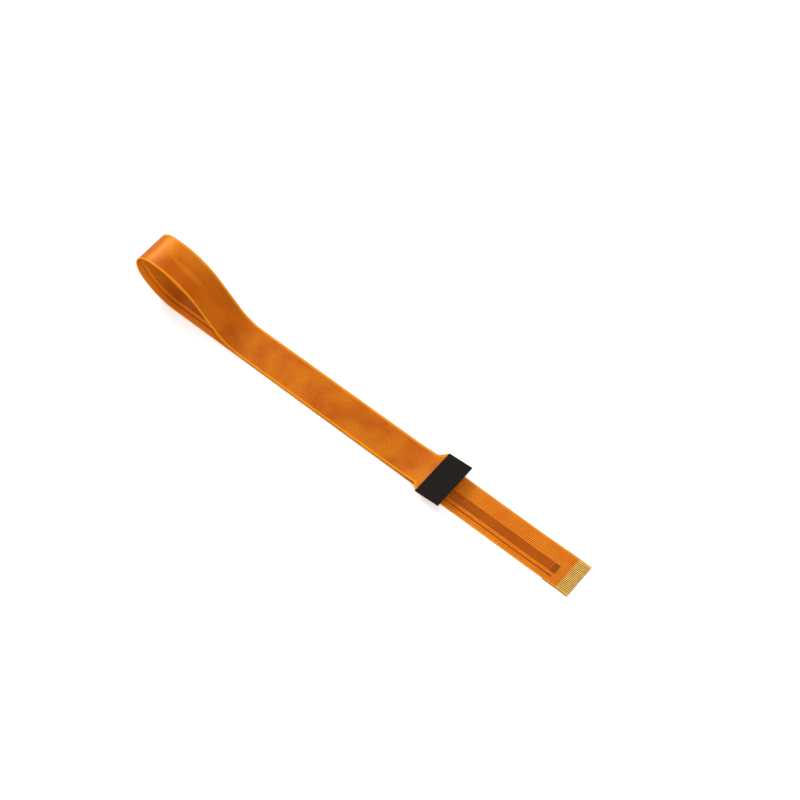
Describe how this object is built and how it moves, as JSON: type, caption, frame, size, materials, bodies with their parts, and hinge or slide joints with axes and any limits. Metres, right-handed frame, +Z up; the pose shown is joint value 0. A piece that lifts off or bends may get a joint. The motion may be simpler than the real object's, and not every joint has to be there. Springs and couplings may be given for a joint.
{
  "type": "flat flex cable",
  "caption": "Amber flexible flat cable folded back over itself in a loop, with a narrow and a wide contact tail, each on a black stiffener.",
  "frame": {"origin": "bottom centre of the bounding box of the cable as it lies", "axes": "+X along the cable towards the narrow tail's tip, away from the loop; +Y across it, on the side of the narrow tail's first contact; +Z up from the surface it lies on"},
  "size_m": [0.1644, 0.016, 0.0189],
  "materials": {
    "amber_coverlay": "clear amber film with a satin sheen",
    "amber_film": "clear amber film",
    "mesh_copper": "copper under film",
    "contact_copper": "copper, gold plated where bare",
    "black_stiffener": "matte black laminate"
  },
  "bodies": {
    "root": {"back_coverlay": "amber_coverlay", "ground_mesh": "mesh_copper", "base_film": "amber_film", "front_coverlay": "amber_coverlay", "narrow_stiffener": "black_stiffener", "wide_stiffener": "black_stiffener", "ground_tab_wide": "contact_copper", "ground_tab_small": "contact_copper", "conductor_01": "contact_copper", "conductor_02": "contact_copper", "conductor_03": "contact_copper", "conductor_04": "contact_copper", "conductor_05": "contact_copper", "conductor_06": "contact_copper", "conductor_07": "contact_copper", "conductor_08": "contact_copper", "conductor_09": "contact_copper", "conductor_10": "contact_copper", "conductor_11": "contact_copper", "conductor_12": "contact_copper", "conductor_13": "contact_copper", "conductor_14": "contact_copper", "conductor_15": "contact_copper"}
  },
  "joints": []
}
